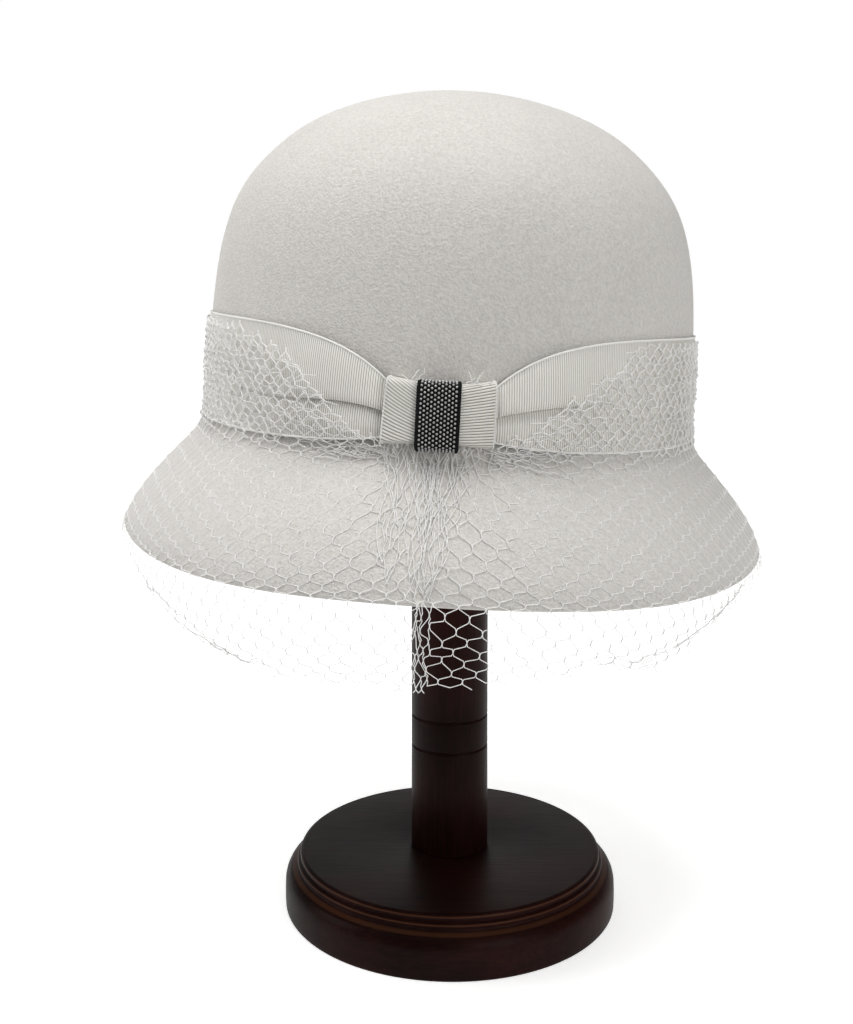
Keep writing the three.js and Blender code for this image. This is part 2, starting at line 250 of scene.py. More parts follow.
def stained_wood(name, stretch, mouldings=()):
    """Dark stained wood, with warm painted highlights along the given mouldings."""
    wood = Finish(name, {"Coat Weight": 0.02, "Coat Roughness": 0.2, "Specular IOR Level": 0.042})
    streaks = wood.noise(420, 4, stretch)
    pores = wood.noise(1400, 3, stretch)
    patches = wood.noise(22, 2)
    grain = wood.smooth(0.2 * streaks + 0.25 * pores + 0.55 * patches, 0.32, 0.7)
    colour = wood.mix(grain, STAIN_DARK, STAIN_LIGHT)
    up = wood.node("ShaderNodeSeparateXYZ", {}, {"Vector": wood.place()}, "Z")
    for height, half in mouldings:
        # Each moulding gets a band of painted highlight, patchy like rubbed stain
        away = up.math("ABSOLUTE", up - height, 0.0)
        highlight_band = wood.smooth(away, 0.2 * half, half, 0.9, 0.0) * (0.5 + 0.7 * patches)
        colour = wood.mix(highlight_band, colour, WARM_HIGHLIGHT)
    wood.set("Base Color", colour)
    wood.set("Roughness", 0.34 + 0.22 * pores)
    wood.bump(pores, 0.0002, 0.25)
    return wood


upright_wood = stained_wood("stained_wood_upright", UP_THE_POST)
board_wood = stained_wood("stained_wood_board", ACROSS_THE_BOARD)
foot_wood = stained_wood("stained_wood_foot", ACROSS_THE_BOARD, HIGHLIGHT_MOULDINGS)
print("made", [each.material.name for each in (upright_wood, board_wood, foot_wood)])

# %% [markdown]
# ## Finishing a piece
# Each mesh is drawn in millimetres, because the hat was measured in them. The hat's pieces are
# drawn standing straight, and one matrix seats them all: the hat leans three degrees on its stand
# and is turned a little. The object itself stays at the origin with its place in its mesh.

# %% Seat and hand over
MM = 0.001
HEADLINE_HEIGHT = 175.3
HAT_SHIFT = -0.9
HAT_LEAN = math.radians(3)
HAT_TURN = math.radians(-2.4)
HAT_SEAT = (
    Matrix.Translation((HAT_SHIFT * MM, 0, HEADLINE_HEIGHT * MM))
    @ Matrix.Rotation(HAT_LEAN, 4, "Y")
    @ Matrix.Rotation(HAT_TURN, 4, "Z")
)
ON_STAND = Matrix.Identity(4)
HAT_MIDDLE = Vector((0, 0, 40))
MERGE_DISTANCE = 0.001


def hand_over(piece, node):
    """Put a piece on the one body and hide the imported solid that it stands for, if any."""
    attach(piece, "root")
    if node:
        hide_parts(node)
    return piece


def finish_mesh(bm, name, seat, finish):
    bmesh.ops.scale(bm, vec=(MM, MM, MM), verts=bm.verts)
    bmesh.ops.transform(bm, matrix=seat, verts=bm.verts)
    mesh = bpy.data.meshes.new(name)
    mesh.materials.append(finish.material)
    for face in bm.faces:
        face.smooth = True
    bm.to_mesh(mesh)
    bm.free()
    piece = bpy.data.objects.new(name, mesh)
    bpy.context.collection.objects.link(piece)
    print(name, "has", len(mesh.polygons), "faces")
    return piece


def face_outward(bm, outside):
    """Turn an open shell so that the face nearest to a point looks away from the hat's middle."""
    bmesh.ops.recalc_face_normals(bm, faces=bm.faces)
    nearest = min(bm.faces, key=lambda face: (face.calc_center_median() - outside).length)
    if nearest.normal.dot(outside - HAT_MIDDLE) < 0:
        bmesh.ops.reverse_faces(bm, faces=bm.faces)


print("the hat's headline lies", HEADLINE_HEIGHT, "mm above the floor")

# %% [markdown]
# ## The felt hood
# A cloche is blocked: a cone of wet felt is pulled down over a wooden form until it takes its
# shape, crown and brim in one piece. So the hood is one outline from tip to brim edge, spun round
# the head's axis. A head is an oval, so the spun points then move out to an oval section. The
# brim flares a little differently at its sides, front and back, and hangs lowest between its
# front and its sides.

# %% The hood's outline
CROWN_HEIGHT = 114.4
HEAD_HALF_WIDTH = 84.5
HEAD_OVAL = 1.15
FELT = 2.5
# share of the crown's height, share of its half width
CROWN_OUTLINE = (
    (1, 0), (0.987, 0.25), (0.93, 0.51), (0.84, 0.715), (0.69, 0.89),
    (0.5, 0.972), (0.23, 1), (0.07, 1), (0, 1.008),
)
# share of the brim's flare, share of its drop
BRIM_OUTLINE = ((0.15, 0.17), (0.4, 0.37), (0.69, 0.61), (0.91, 0.84), (1, 1))


def hat_outline(flare, drop, reach):
    crown = [Vector((out * reach, up * CROWN_HEIGHT)) for up, out in CROWN_OUTLINE]
    brim = [Vector((reach + out * flare, -down * drop)) for out, down in BRIM_OUTLINE]
    return crown + brim


def along(points, share):
    """A smooth curve through points, from 0 at the first to 1 at the last."""
    last = len(points) - 1
    start = min(int(share * last), last - 1)
    t = share * last - start
    before = points[max(start - 1, 0)]
    a = points[start]
    b = points[start + 1]
    after = points[min(start + 2, last)]
    leave = (b - before) / 2
    reach = (after - a) / 2
    return ((2 * a - 2 * b + leave + reach) * t + 3 * b - 3 * a - 2 * leave - reach) * t * t + leave * t + a


FRONT_DROP = 37.5
BRIM_DROOP = 2.3
SIDE = hat_outline(26, 36.5, HEAD_HALF_WIDTH)
FRONT = hat_outline(27, FRONT_DROP, HEAD_HALF_WIDTH * HEAD_OVAL)
BACK = hat_outline(24, 36, HEAD_HALF_WIDTH * HEAD_OVAL)
HEADLINE_SHARE = (len(CROWN_OUTLINE) - 1) / (len(SIDE) - 1)
print("the headline lies at share", round(HEADLINE_SHARE, 3), "of the outline")

# %% Points on and off the felt
def felt_face(share, angle):
    """The felt's outer face: share 0 is the tip and 1 the brim's edge, and angle 0 is the front."""
    side = along(SIDE, share)
    across = math.sin(angle)
    ahead = math.cos(angle)
    end = along(FRONT if ahead > 0 else BACK, share)
    height = side.y * across ** 2 + end.y * ahead ** 2
    if ahead > 0 and end.y < 0:
        height += BRIM_DROOP * end.y / FRONT_DROP * (2 * across * ahead) ** 2
    return Vector((side.x * across, -end.x * ahead, height))


def felt_normal(share, angle):
    step = 1e-3
    down = felt_face(min(share + step, 1), angle) - felt_face(max(share - step, 0), angle)
    inside = max(share, step)
    right = felt_face(inside, angle + step) - felt_face(inside, angle - step)
    return down.cross(right).normalized()


def off_felt(share, angle, lift):
    if share <= 0:
        return Vector((0, 0, CROWN_HEIGHT + lift))
    return felt_face(share, angle) + felt_normal(share, angle) * lift


WALL_STEPS = 1200
WALL_SHARES = np.linspace(HEADLINE_SHARE, 0, WALL_STEPS)
WALL_HEIGHTS = np.array([along(SIDE, share).y for share in WALL_SHARES])


def crown_share(height):
    return float(np.interp(height, WALL_HEIGHTS, WALL_SHARES))


print("the crown wall is known at", WALL_STEPS, "heights")

# %% Spin the hood
HOOD_ROWS = 60
HOOD_COLUMNS = 136
RIM_CREASE = 0.7

bm = bmesh.new()
share_of = bm.verts.layers.float.new("share")
outline = []
for row in range(HOOD_ROWS + 1):
    spot = along(SIDE, row / HOOD_ROWS)
    vert = bm.verts.new((spot.x, 0, spot.y))
    vert[share_of] = row / HOOD_ROWS
    outline.append(vert)
for upper, lower in zip(outline, outline[1:]):
    bm.edges.new((upper, lower))
bmesh.ops.spin(
    bm, geom=bm.verts[:] + bm.edges[:], cent=(0, 0, 0), axis=(0, 0, 1),
    angle=2 * math.pi, steps=HOOD_COLUMNS, use_merge=True,
)
bmesh.ops.remove_doubles(bm, verts=bm.verts, dist=MERGE_DISTANCE)
for vert in bm.verts:
    vert.co = off_felt(vert[share_of], math.atan2(vert.co.x, -vert.co.y), 0)
face_outward(bm, Vector((0, 0, CROWN_HEIGHT)))
felt_hood = hand_over(finish_mesh(bm, "felt_hood_dressed", HAT_SEAT, felt), "felt_hood")

thickness = felt_hood.modifiers.new("felt_thickness", "SOLIDIFY")
thickness.thickness = FELT * MM
thickness.offset = -1
thickness.edge_crease_rim = RIM_CREASE
rounding = felt_hood.modifiers.new("soft_edge", "SUBSURF")
rounding.levels = 1
rounding.render_levels = 1

# %% [markdown]
# ## The ribbon band
# The ribbon lies flat round the back of the crown. At the front it is drawn together under the
# bow: it narrows to less than half its width, and the spare cloth goes into one tuck. The
# upper half puffs out, rolls under at a lip and comes down again from behind it.
# On the left the tuck runs further round, and its lip hangs lower.
# A flat grid is bent to that shape. Its columns are the ribs, four columns to a rib, so that the
# ribs are real relief and stay upright through the tuck.

# %% Ribbon sizes
SEAT = 0.3
BAND_WIDTH = 34.5
BOW_HALF_ANGLE = math.radians(9.8)
GATHER_FADE = math.radians(11)
TUCK_START = math.radians(18)
TUCK_END = math.radians(39)
LEFT_STRETCH = 1.22
LEFT_DROOP = 0.1
DROOP_REACH = 0.6
GATHERED_TOP = 18.7
GATHERED_BOTTOM = 3.8
PRESSED_ANGLE = BOW_HALF_ANGLE * 1.1
PRESSED_LIFT = 2.2
BAND_RIBS = 760
RIB_DEPTH = 0.26

# Cross-section of the ribbon, from its top edge: share of the height where it lies flat,
# share of the height in the full tuck, lift off the felt
TUCK = (
    (0.00, 0.00, 1.0), (0.13, 0.13, 1.7), (0.30, 0.30, 2.3), (0.45, 0.44, 2.7), (0.515, 0.505, 2.7),
    (0.54, 0.54, 2.4), (0.55, 0.535, 1.7), (0.555, 0.47, 1.1), (0.558, 0.42, 0.7), (0.56, 0.40, 0.5),
    (0.563, 0.43, 0.3), (0.57, 0.52, 0.5), (0.61, 0.61, 1.5), (0.75, 0.75, 2.0), (0.90, 0.90, 1.9),
    (1.00, 1.00, 1.3),
)
TUCK_POINTS = [Vector(row) for row in TUCK]


def smoothstep(value, low, high):
    t = min(max((value - low) / (high - low), 0), 1)
    return t * t * (3 - 2 * t)


def gathered(angle):
    return math.exp(-max(0, abs(angle) - BOW_HALF_ANGLE) / GATHER_FADE)


def tucked(angle):
    reach = angle if angle > 0 else -angle / LEFT_STRETCH
    return 1 - smoothstep(reach, TUCK_START, TUCK_END)


def band_edges(angle):
    pull = gathered(angle)
    return BAND_WIDTH + (GATHERED_TOP - BAND_WIDTH) * pull, GATHERED_BOTTOM * pull


print("the band narrows from", BAND_WIDTH, "to", round(GATHERED_TOP - GATHERED_BOTTOM, 1), "mm at the bow")

# %% Bend a flat grid
COLUMNS_TO_A_RIB = 4
ROWS_TO_A_FOLD = 2
# degrees from the front between which the net's painted shade on the ribbon comes in and goes out
SHADE_COMES = (36, 62)
SHADE_GOES = (110, 134)
# how far the painted shade under the net darkens the ribbon's colour
PAINTED_SHADE_DEPTH = 0.42
BEHIND_BAND = Vector((0, 100, 17))


def cloth_grid(columns, rows, place):
    """A flat cloth. place(across, down), both from 0 to 1, gives a point and its rib's height, kept on the
    point to paint shade in the furrows.
    """
    bm = bmesh.new()
    bm.loops.layers.uv.new("cloth")
    rib_shade_of = bm.verts.layers.float.new("rib")
    bmesh.ops.create_grid(bm, x_segments=columns, y_segments=rows, size=0.5, calc_uvs=True)
    for vert in bm.verts:
        vert.co, vert[rib_shade_of] = place(vert.co.x + 0.5, 0.5 - vert.co.y)
    return bm


def rib_profile(turns):
    """A round rib with a narrow furrow, from 0 in the furrow to 1 on the rib."""
    return 1 - (0.5 - 0.5 * math.cos(2 * math.pi * turns)) ** 3


def painted_net_shade(angle):
    """How much painted shade the layers of net on the right put on the ribbon under them, from 0 to 1."""
    degrees = math.degrees(angle)
    return smoothstep(degrees, *SHADE_COMES) * (1 - smoothstep(degrees, *SHADE_GOES))


def band_spot(across, down):
    """A point of the band and its height on its rib, held lower where the net's shade is painted on."""
    angle = (across - 0.5) * 2 * math.pi
    top, bottom = band_edges(angle)
    flat, height, lift = along(TUCK_POINTS, down)
    depth = tucked(angle)
    height = flat + (height - flat) * depth
    if angle < 0:
        away = smoothstep(-angle, BOW_HALF_ANGLE, TUCK_END) * tucked(DROOP_REACH * angle)
        height += LEFT_DROOP * away * 4 * height * (1 - height)
    lift = lift * depth
    if abs(angle) < PRESSED_ANGLE:
        lift = min(lift, PRESSED_LIFT)
    rib = rib_profile(BAND_RIBS * across)
    spot = off_felt(crown_share(top + (bottom - top) * height), angle, SEAT + lift + RIB_DEPTH * rib)
    # The second value paints shade: it darkens the furrows, and on the right it also paints the net's shade
    return spot, rib * (1 - PAINTED_SHADE_DEPTH * painted_net_shade(angle))


bm = cloth_grid(BAND_RIBS * COLUMNS_TO_A_RIB, ROWS_TO_A_FOLD * (len(TUCK) - 1), band_spot)
bmesh.ops.remove_doubles(bm, verts=bm.verts, dist=MERGE_DISTANCE)
face_outward(bm, BEHIND_BAND)
hat_band = hand_over(finish_mesh(bm, "hat_band_dressed", HAT_SEAT, ribbon), "hat_band")

# %% [markdown]
# ## Selvages
# A woven ribbon has a firm edge where the weft turns back, and it catches the light as a thin
# bright line. A curve with a round bevel makes such an edge along any row of points.

# %% Ribbon edges
BAND_SELVAGE = 0.32
SIX_SIDED = 1


def cord_lines(name, lines, radius, finish, cyclic=False):
    """One curve object on the hat with a thin round thread along each line of points."""
    data = bpy.data.curves.new(name, "CURVE")
    data.dimensions = "3D"
    data.bevel_depth = radius * MM
    data.bevel_resolution = SIX_SIDED
    data.use_fill_caps = not cyclic
    data.materials.append(finish.material)
    for line in lines:
        spline = data.splines.new("POLY")
        spline.points.add(len(line) - 1)
        for spot, point in zip(line, spline.points):
            point.co = (HAT_SEAT @ (spot * MM)).to_4d()
        spline.use_cyclic_u = cyclic
    piece = bpy.data.objects.new(name, data)
    bpy.context.collection.objects.link(piece)
    print(name, "has", sum(len(line) for line in lines), "points on", len(lines), "lines")
    return piece


def band_edge(down):
    return [band_spot(rib / BAND_RIBS, down)[0] for rib in range(BAND_RIBS)]


band_selvage = cord_lines("band_selvage", [band_edge(0), band_edge(1)], BAND_SELVAGE, selvage, True)
hand_over(band_selvage, None)

# %% [markdown]
# ## The bow
# The bow is a short length of the same ribbon folded over the gathered band, so its ribs lie
# across. The wrap pulls its middle in, and on the left the ribs slant down towards the wrap.
# It is a second grid, bent over a path that comes out at the top and goes back in below.

# %% Ribbon folded over the band
RIBBON = 1.0
WAIST = 1.0
BOW_LIFT = 3
KNOT_TOP = GATHERED_TOP + SEAT + RIBBON + WAIST
KNOT_BOTTOM = GATHERED_BOTTOM - SEAT - RIBBON - WAIST
KNOT_LIFT = SEAT + BOW_LIFT + SEAT + RIBBON
# side of the fold, inset from its edge, share of its lift
FOLD = (
    (1, 0, 0.1), (1, 0, 0.4), (1, 0.15, 0.7), (1, 0.9, 0.93), (0.75, 0, 1), (0.4, 0, 1.05), (0, 0, 1.07),
    (-0.4, 0, 1.05), (-0.75, 0, 1), (-1, 0.9, 0.93), (-1, 0.15, 0.7), (-1, 0, 0.4), (-1, 0, 0.1),
)
FOLD_POINTS = [Vector(row) for row in FOLD]
PATH_POINTS = 300
BESIDE_WRAP = 0.1  # radians from the front


def fold_spot(down, angle, top, bottom, lift, slim, relief):
    side, inset, share = along(FOLD_POINTS, down)
    half = (top - bottom) / 2 - slim
    height = (top + bottom) / 2 + side * half - math.copysign(inset, side)
    outward = lift * share + relief * smoothstep(share, 0.3, 0.8)
    return off_felt(crown_share(height), angle, outward)


def even_path(spot_at):
    """The length of a path and a way to step along it evenly."""
    shares = np.linspace(0, 1, PATH_POINTS)
    spots = [spot_at(share) for share in shares]
    run = np.cumsum([0] + [(b - a).length for a, b in zip(spots, spots[1:])])
    return float(run[-1]), lambda step: float(np.interp(step * run[-1], run, shares))


def knot_beside_wrap(down):
    return fold_spot(down, BESIDE_WRAP, KNOT_TOP, KNOT_BOTTOM, KNOT_LIFT, WAIST / 2, 0)


KNOT_LENGTH, knot_step = even_path(knot_beside_wrap)
print("the bow's ribbon is", round(KNOT_LENGTH, 1), "mm long over the front")

# %% Bow
KNOT_COLUMNS = 72
KNOT_ROWS = 320
KNOT_RIB = 0.82
KNOT_RIB_DEPTH = 0.42
KNOT_SUNK = 0.3
KNOT_FLARE = 0.1
TOP_DIP = 1.0
LEFT_SLANT_ABOVE = 8.4
LEFT_SLANT_LOSS = 4.2
RIGHT_SLANT = -1.7
KNOT_SELVAGE = 0.26
EDGE_STEPS = 90
BEFORE_BOW = Vector((0, -100, 11))


def knot_spot(across, down):
    angle = (across - 0.5) * 2 * BOW_HALF_ANGLE
    beside = angle / BOW_HALF_ANGLE
    slant = RIGHT_SLANT * beside
    if beside < 0:
        angle *= 1 + KNOT_FLARE * down
        slant = (LEFT_SLANT_ABOVE - LEFT_SLANT_LOSS * down) * beside
    rib = rib_profile((KNOT_LENGTH * down - slant) / KNOT_RIB)
    slim = WAIST * (1 - abs(beside))
    top = KNOT_TOP - TOP_DIP * (1 - abs(beside))
    relief = KNOT_RIB_DEPTH * rib - KNOT_SUNK
    return fold_spot(knot_step(down), angle, top, KNOT_BOTTOM, KNOT_LIFT, slim, relief), rib


def knot_edge(across):
    return [knot_spot(across, step / EDGE_STEPS)[0] for step in range(EDGE_STEPS + 1)]


bm = cloth_grid(KNOT_COLUMNS, KNOT_ROWS, knot_spot)
face_outward(bm, BEFORE_BOW)
bow_knot = hand_over(finish_mesh(bm, "bow_knot_dressed", HAT_SEAT, ribbon), "bow_knot")
knot_selvage = cord_lines("knot_selvage", [knot_edge(0), knot_edge(1)], KNOT_SELVAGE, selvage)
hand_over(knot_selvage, None)

# %% [markdown]
# ## The beaded wrap
# A strip of black cloth goes round the bow's middle and carries columns of silvery beads, each
# column shifted by half a bead, inside a twisted black border. A bead is a small sphere with few
# faces, because it is repeated so often, and every bead sits on the strip along its own normal.

# %% Black strip
WRAP_HALF_ANGLE = math.radians(3.9)
WRAP_MIDDLE = math.radians(-0.4)
WRAP_TOP = KNOT_TOP - 0.6
WRAP_BOTTOM = KNOT_BOTTOM - 1.3
WRAP_LIFT = KNOT_LIFT + SEAT + RIBBON - 0.1
WRAP_COLUMNS = 28
WRAP_ROWS = 60


def wrap_place(down, angle):
    return fold_spot(down, angle, WRAP_TOP, WRAP_BOTTOM, WRAP_LIFT, 0, 0)


WRAP_LENGTH, wrap_step = even_path(lambda down: wrap_place(down, 0))


def wrap_spot(across, down):
    """A point of the strip, which has no ribs."""
    return wrap_place(wrap_step(down), WRAP_MIDDLE + (across - 0.5) * 2 * WRAP_HALF_ANGLE), 1.0


bm = cloth_grid(WRAP_COLUMNS, WRAP_ROWS, wrap_spot)
face_outward(bm, BEFORE_BOW)
strip = finish_mesh(bm, "bead_wrap_dressed", HAT_SEAT, black_cloth)
bead_wrap = hand_over(strip, "bead_wrap")

# %% Twisted border
BORDER_INSET = 0.03
BORDER_RADIUS = 0.26
BORDER_TURNS = 20
BORDER_STEPS = 180
BORDER_SWING = 0.018
BORDER_DEPTH = 0.2


def border_line(across, turn):
    """A strand of the border, wound round its middle line."""
    line = []
    for step in range(BORDER_STEPS + 1):
        swing = 2 * math.pi * BORDER_TURNS * step / BORDER_STEPS + turn
        spot = wrap_spot(across + BORDER_SWING * math.cos(swing), step / BORDER_STEPS)[0]
        line.append(spot + Vector((0, -BORDER_DEPTH * math.sin(swing), 0)))
    return line


sides = (BORDER_INSET, 1 - BORDER_INSET)
border_lines = [border_line(across, turn) for across in sides for turn in (0, math.pi)]
wrap_border = cord_lines("wrap_border", border_lines, BORDER_RADIUS, black_cloth)
hand_over(wrap_border, None)

# %% Beads
BEAD_COLUMNS = 11
BEAD_PITCH = 1.27
BEAD_ROWS = int(WRAP_LENGTH / BEAD_PITCH) - 2
BEAD_RADIUS = 0.36
BEAD_LIFT = 0.15
BEAD_FLATNESS = 0.8
BEAD_MARGIN = 0.105
FIRST_BEAD = 1.2
NEARBY = 0.01


def bead_seat(across, down):
    """The matrix that sets a slightly flat bead on the strip, along the strip's normal."""
    spot = wrap_spot(across, down)[0]
    right = wrap_spot(across + NEARBY, down)[0] - spot
    below = wrap_spot(across, down + NEARBY / 2)[0] - spot
    normal = below.cross(right).normalized()
    turn = normal.to_track_quat("Z", "Y").to_matrix().to_4x4()
    return Matrix.Translation(spot + normal * BEAD_LIFT) @ turn @ Matrix.Diagonal((1, 1, BEAD_FLATNESS, 1))


bm = bmesh.new()
for column in range(BEAD_COLUMNS):
    across = BEAD_MARGIN + (1 - 2 * BEAD_MARGIN) * column / (BEAD_COLUMNS - 1)
    for row in range(BEAD_ROWS):
        down = (row + FIRST_BEAD + 0.5 * (column % 2)) * BEAD_PITCH / WRAP_LENGTH
        seat = bead_seat(across, down)
        bmesh.ops.create_uvsphere(bm, u_segments=8, v_segments=5, radius=BEAD_RADIUS, matrix=seat)
wrap_beads = hand_over(finish_mesh(bm, "wrap_beads", HAT_SEAT, silver), None)
print("beads:", BEAD_COLUMNS * BEAD_ROWS)

# %% [markdown]
# ## The net veil
# The veil is a strip of six-sided net. Such net is knitted from upright threads: each thread
# zigzags, twisting round its left neighbour, then round its right one, and so on. So the veil is
# built as threads, not as cells. The brim is nearly a cone, and a cone unrolls flat, so the
# threads are laid out straight on flat net and rolled up round the brim: that is why the rows climb
# towards the front. Under the bow the net is drawn together, and past the brim it hangs and curls in.
# Over the ribbon its top is folded over, so a second layer lies there on the first.

# %% Where the net lies
HANG = 27.0
HANG_START = math.radians(80)
HANG_END = math.radians(128)
OVER_TUCK = 3.2
EDGE_STAND = 0.4
NET_REACH = 134
# Places up and down the hat: -1 is the band's top, 0 the headline, 1 the brim's edge and 2 the
# longest fall. Each row has an angle from the front in degrees, below 0 on the left, and the
# place of the net's upper edge there.
NET_TOP = (
    (-135, -0.8), (-104, -0.97), (-70, -0.98), (-55, -0.98), (-45, -0.93), (-31, -0.78), (-25.5, -0.55),
    (-17, -0.2), (-10, -0.08), (0, -0.06), (10, -0.08), (16, -0.22), (25, -0.5), (33, -0.68),
    (40, -0.88), (50, -0.97), (68, -0.98), (104, -0.97), (135, -0.8),
)
# the same for its lower edge
NET_BOTTOM = (
    (-135, -0.1), (-104, 0.6), (-82, 0.97), (-66, 1.03), (-57, 1.16), (-49, 1.37), (-40, 1.62), (-30, 1.84),
    (-18, 1.92), (0, 1.9), (11, 1.8), (23, 1.58), (27, 1.52), (31, 1.66), (37, 1.6), (45, 1.4),
    (52, 1.2), (58, 1.07), (68, 1.0), (82, 0.97), (104, 0.6), (135, -0.1),
)


def read(table, at):
    return float(np.interp(at, [row[0] for row in table], [row[1] for row in table]))


def drape(place, angle, lift):
    """A point of the net, held off what it lies on by a lift."""
    on_band = SEAT + RIB_DEPTH + OVER_TUCK * tucked(angle) * (1 - smoothstep(place, -0.25, 0.05))
    if place <= 0:
        return off_felt(crown_share(-place * BAND_WIDTH), angle, on_band + lift)
    stand = on_band * (1 - smoothstep(place, 0, 0.2)) + EDGE_STAND * smoothstep(place, 0.9, 1)
    share = HEADLINE_SHARE + (1 - HEADLINE_SHARE) * min(place, 1)
    spot = off_felt(share, angle, stand + lift)
    bend = (HANG_END - HANG_START) / HANG
    fall = max(0, place - 1) * HANG
    slope = HANG_START + bend * fall
    out = (math.sin(slope) - math.sin(HANG_START)) / bend
    down = (math.cos(HANG_START) - math.cos(slope)) / bend
    outward = felt_normal(1, angle)
    outward.z = 0
    return spot + outward.normalized() * out - Vector((0, 0, down))


print("the net reaches", NET_REACH, "degrees to each side")

# %% Roll the flat net round the brim
CONE = 0.58  # turn on the flat net for a turn round the head
RIM_REACH = 202.0  # from the cone's point to the brim's edge
BRIM_SLANT = 45.0
DRAWN_UP = 6.0  # the net's rise under the bow
DRAWN_UP_WIDTH = 15  # degrees from the front over which that fades
DRAWN_IN = 0.5  # the share of its width that the net loses under the bow
DRAWN_IN_WIDTH = 22  # degrees from the front over which that fades
CROWN_REACH = 91.0  # mean radius of the band's oval


def near_bow(angle, width):
    return math.exp(-((math.degrees(angle) / width) ** 2))


def roll_up(across, down):
    """Angle round the head and place on the hat of a point on the flat net, in millimetres."""
    angle = math.atan2(across, down) / CONE
    reach = math.hypot(across, down)
    reach -= DRAWN_UP * near_bow(angle, DRAWN_UP_WIDTH) * smoothstep(RIM_REACH - reach, -6, 40)
    beyond = reach - RIM_REACH
    if beyond > 0:
        place = 1 + beyond / HANG
    elif beyond > -BRIM_SLANT:
        place = 1 + beyond / BRIM_SLANT
    else:
        place = (beyond + BRIM_SLANT) / BAND_WIDTH
    drawn = smoothstep(-place, -0.8, -0.05) * near_bow(angle, DRAWN_IN_WIDTH)
    return angle * (1 - DRAWN_IN * drawn), place


def roll_round(across, down):
    """The same for net laid straight round the band, from the band's top edge."""
    return across / CROWN_REACH, down / BAND_WIDTH - 1


rim_at_side = RIM_REACH * math.cos(math.radians(60 * CONE))
print("the brim's edge at 60 degrees lies", round(rim_at_side), "mm down the net")

# %% How the threads lie
BUNCH_MIDDLE = math.radians(0.9)
BUNCH_WIDTH = 3
LOOSE_WIDTH = 10
# how far a twist strays from its place on the flat net, in millimetres
STRAY = {"anywhere": 0.12, "on_ribbon": 0.2, "in_bunch": 0.6, "hanging": 0.15}
# the most that a twist stands off what it lies on
LIFT = {"anywhere": 0.06, "on_ribbon": 0.6, "near_bow": 0.7}
# how deep a twist sinks into the felt
SUNK = {"anywhere": 0.03, "upper_brim": 0.05, "brim_sides": 0.055}

shake = random.Random(7)


def on_ribbon(place):
    return 1 - smoothstep(place, -0.1, 0.15)


def stray(place, angle):
    bunched = near_bow(angle + BUNCH_MIDDLE, BUNCH_WIDTH) * (1 - 0.25 * smoothstep(place, 0.8, 1.1))
    return (
        STRAY["anywhere"] + STRAY["on_ribbon"] * on_ribbon(place)
        + STRAY["in_bunch"] * bunched + STRAY["hanging"] * smoothstep(place, 1, 1.3)
    )


def sunk(place, angle):
    upper = smoothstep(place, 0.05, 0.2) * (1 - smoothstep(place, 0.4, 0.75))
    side = smoothstep(abs(math.degrees(angle)), 30, 55) * (1 - smoothstep(place, 0.95, 1))
    return SUNK["anywhere"] + SUNK["upper_brim"] * upper + SUNK["brim_sides"] * side


def twist_lift(place, angle):
    most = LIFT["anywhere"] + LIFT["on_ribbon"] * on_ribbon(place)
    most += LIFT["near_bow"] * near_bow(angle, LOOSE_WIDTH)
    return most * shake.random() - sunk(place, angle) * (1 - on_ribbon(place))


print("on the brim a twist strays by", STRAY["anywhere"], "mm")

# %% The net's lattice
ROW_STEP = 3.1
LAST_STRAND = 62
FOLD_STEP = 2.5
FOLD_ROW = 2.2
LAST_FOLD = 76
FOLD_RISE = 0.4
RAGGED = (-0.05, 0.04)
BUNDLE_HALF_WIDTH = 20
BUNDLE_END = 0.4
BUNDLE_ROWS = 3
# Left of the middle the threads are bunched: strand, place across in millimetres
BUNCH = (
    (-LAST_STRAND, -202), (-15, -32), (-9, -10), (-6.5, -4.6), (-0.5, 1.0), (9, 36.5), (LAST_STRAND, 228),
)


def lattice(lay, columns, rows, row_step, lowest, rise):
    """The twists of one layer of net, by column and row, and those left out under the bow."""
    links = {}
    skipped = set()
    for column, across in columns.items():
        for row in rows:
            if (column + row) % 2:
                continue
            down = row * row_step
            angle, place = lay(across, down)
            degrees = math.degrees(angle)
            if abs(across) < BUNDLE_HALF_WIDTH and place < BUNDLE_END and row % BUNDLE_ROWS:
                skipped.add((column, row))
                continue
            loose = stray(place, angle)
            spot = (across + shake.gauss(0, loose), down + shake.gauss(0, loose))
            lift = rise + twist_lift(place, angle)
            bottom = min(lowest, read(NET_BOTTOM, degrees)) + shake.uniform(*RAGGED)
            if abs(degrees) < NET_REACH and read(NET_TOP, degrees) < place < bottom:
                links[column, row] = (*spot, lift)
    print("twists in this layer of net:", len(links), "and left out under the bow:", len(skipped))
    return links, skipped


veil_columns = {column: read(BUNCH, column + 0.5) for column in range(-LAST_STRAND, LAST_STRAND + 1)}
fold_columns = {column: column * FOLD_STEP for column in range(-LAST_FOLD, LAST_FOLD + 1)}
print("columns of twists:", len(veil_columns), "in the veil and", len(fold_columns), "in the fold")

# %% Knit the threads
STRAND_RADIUS = 0.125
FOLD_RADIUS = 0.16
TWIST = 0.19
TWIST_OPEN = 1.6
TWIST_CROSSED = 0.4
VEIL_HALF_TWIST = 0.95
FOLD_HALF_TWIST = 0.6
EDGE_RISE = 0.9
VEIL_ROWS = range(4, 77)
FOLD_ROWS = range(0, 18)
VEIL_LOWEST = 3  # below its lower edge at any angle
FOLD_LOWEST = 0.02


def on_hat(lay, across, down, lift):
    angle, place = lay(across, down)
    return drape(place, angle, lift)


def partner_of(strand, row):
    return strand if (strand + row) % 2 == 0 else strand - 1


